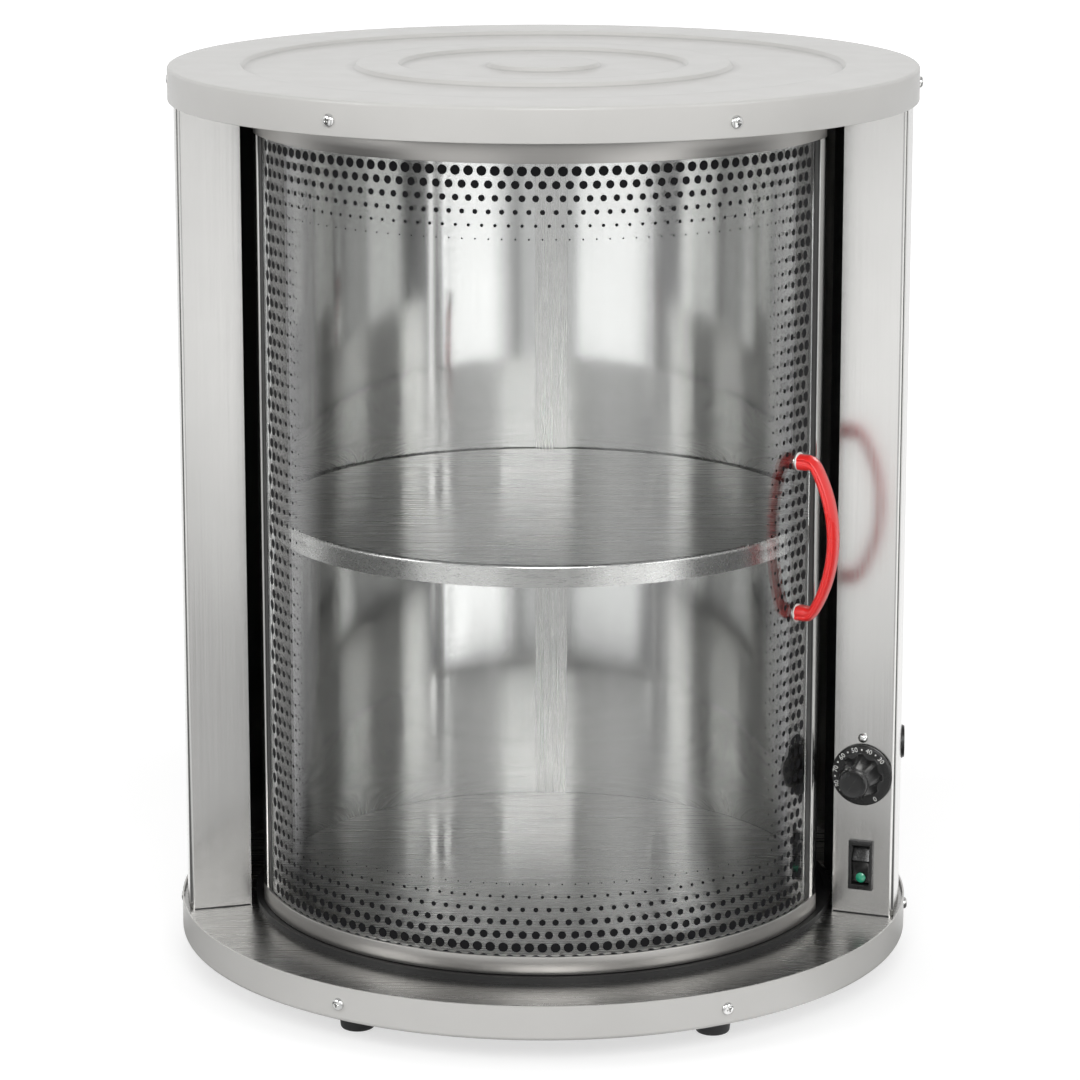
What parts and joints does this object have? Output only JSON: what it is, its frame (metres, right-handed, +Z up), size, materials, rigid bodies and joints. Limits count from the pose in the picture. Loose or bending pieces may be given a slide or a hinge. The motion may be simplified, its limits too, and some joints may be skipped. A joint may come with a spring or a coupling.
{
  "type": "plate warmer cabinet",
  "caption": "Round countertop plate warmer with a steel casing and drum, a curved door that turns into the casing, a loose shelf, a thermostat knob and a rocker switch.",
  "frame": {"origin": "on the cabinet's axis, in the plane that the feet stand on", "axes": "+Z up, -Y towards the front with the door closed, +X to the user's right, where the controls are"},
  "size_m": [0.455, 0.45, 0.554],
  "materials": {
    "paint": "satin",
    "brushed_steel": "brushed",
    "polished_steel": "polished",
    "rail_steel": "brushed",
    "galvanised": "matt",
    "screw_steel": "bright",
    "black_plastic": "matt",
    "rubber": "matt",
    "glass": "clear",
    "red_plastic": "gloss",
    "pale_washer": "gloss",
    "green_lens": "gloss",
    "copper": "bright",
    "bakelite": "matt",
    "element": "matt",
    "ceramic_block": "matt"
  },
  "bodies": {
    "cabinet": {"lid": "paint", "lid_screws": "screw_steel", "ceiling_pan": "galvanised", "upper_track": "black_plastic", "outer_casing": "brushed_steel", "left_front_panel": "brushed_steel", "right_front_panel": "brushed_steel", "inner_liner": "polished_steel", "rear_strip": "brushed_steel", "inner_floor": "polished_steel", "shelf_brackets": "galvanised", "control_box": "brushed_steel", "base_deck": "brushed_steel", "base_tray": "paint", "tray_screws": "screw_steel", "lower_track": "black_plastic", "door_stops": "black_plastic", "feet": "rubber", "foot_screws": "screw_steel", "thermostat_body": "bakelite", "thermostat_bulb": "copper", "index_stud": "screw_steel", "switch_housing": "black_plastic", "side_plug": "black_plastic", "heating_element": "element", "heater_clips": "galvanised", "safety_cutout": "bakelite", "terminal_block": "ceramic_block", "cord_bushing": "black_plastic"},
    "door": {"door_glass": "glass", "door_top_rail": "rail_steel", "door_bottom_rail": "rail_steel", "door_left_upright": "rail_steel", "door_right_upright": "rail_steel", "door_glides": "black_plastic", "handle": "red_plastic", "handle_washers": "pale_washer", "handle_screws": "screw_steel"},
    "knob": {"thermostat_knob": "black_plastic", "thermostat_shaft": "screw_steel"},
    "rocker": {"switch_rocker": "black_plastic", "switch_lens": "green_lens"},
    "shelf": {"shelf": "polished_steel"}
  },
  "joints": [
    {"name": "door_turn", "type": "hinge", "parent": "cabinet", "child": "door", "pos_m": [0, 0, 0.284], "axis": [0, 0, -1], "range_deg": [0, 136]},
    {"name": "thermostat_turn", "type": "hinge", "parent": "cabinet", "child": "knob", "pos_m": [0.19594, -0.04499, 0.125], "axis": [-0.309, -0.9511, 0], "range_deg": [-144, 147]},
    {"name": "switch_rock", "type": "hinge", "parent": "cabinet", "child": "rocker", "pos_m": [0.19748, -0.04023, 0.0675], "axis": [0.9511, -0.309, 0], "range_deg": [0, 14]},
    {"name": "shelf_lift", "type": "slide", "parent": "cabinet", "child": "shelf", "axis": [0, 0, 1], "range_m": [0, 0.03]}
  ]
}
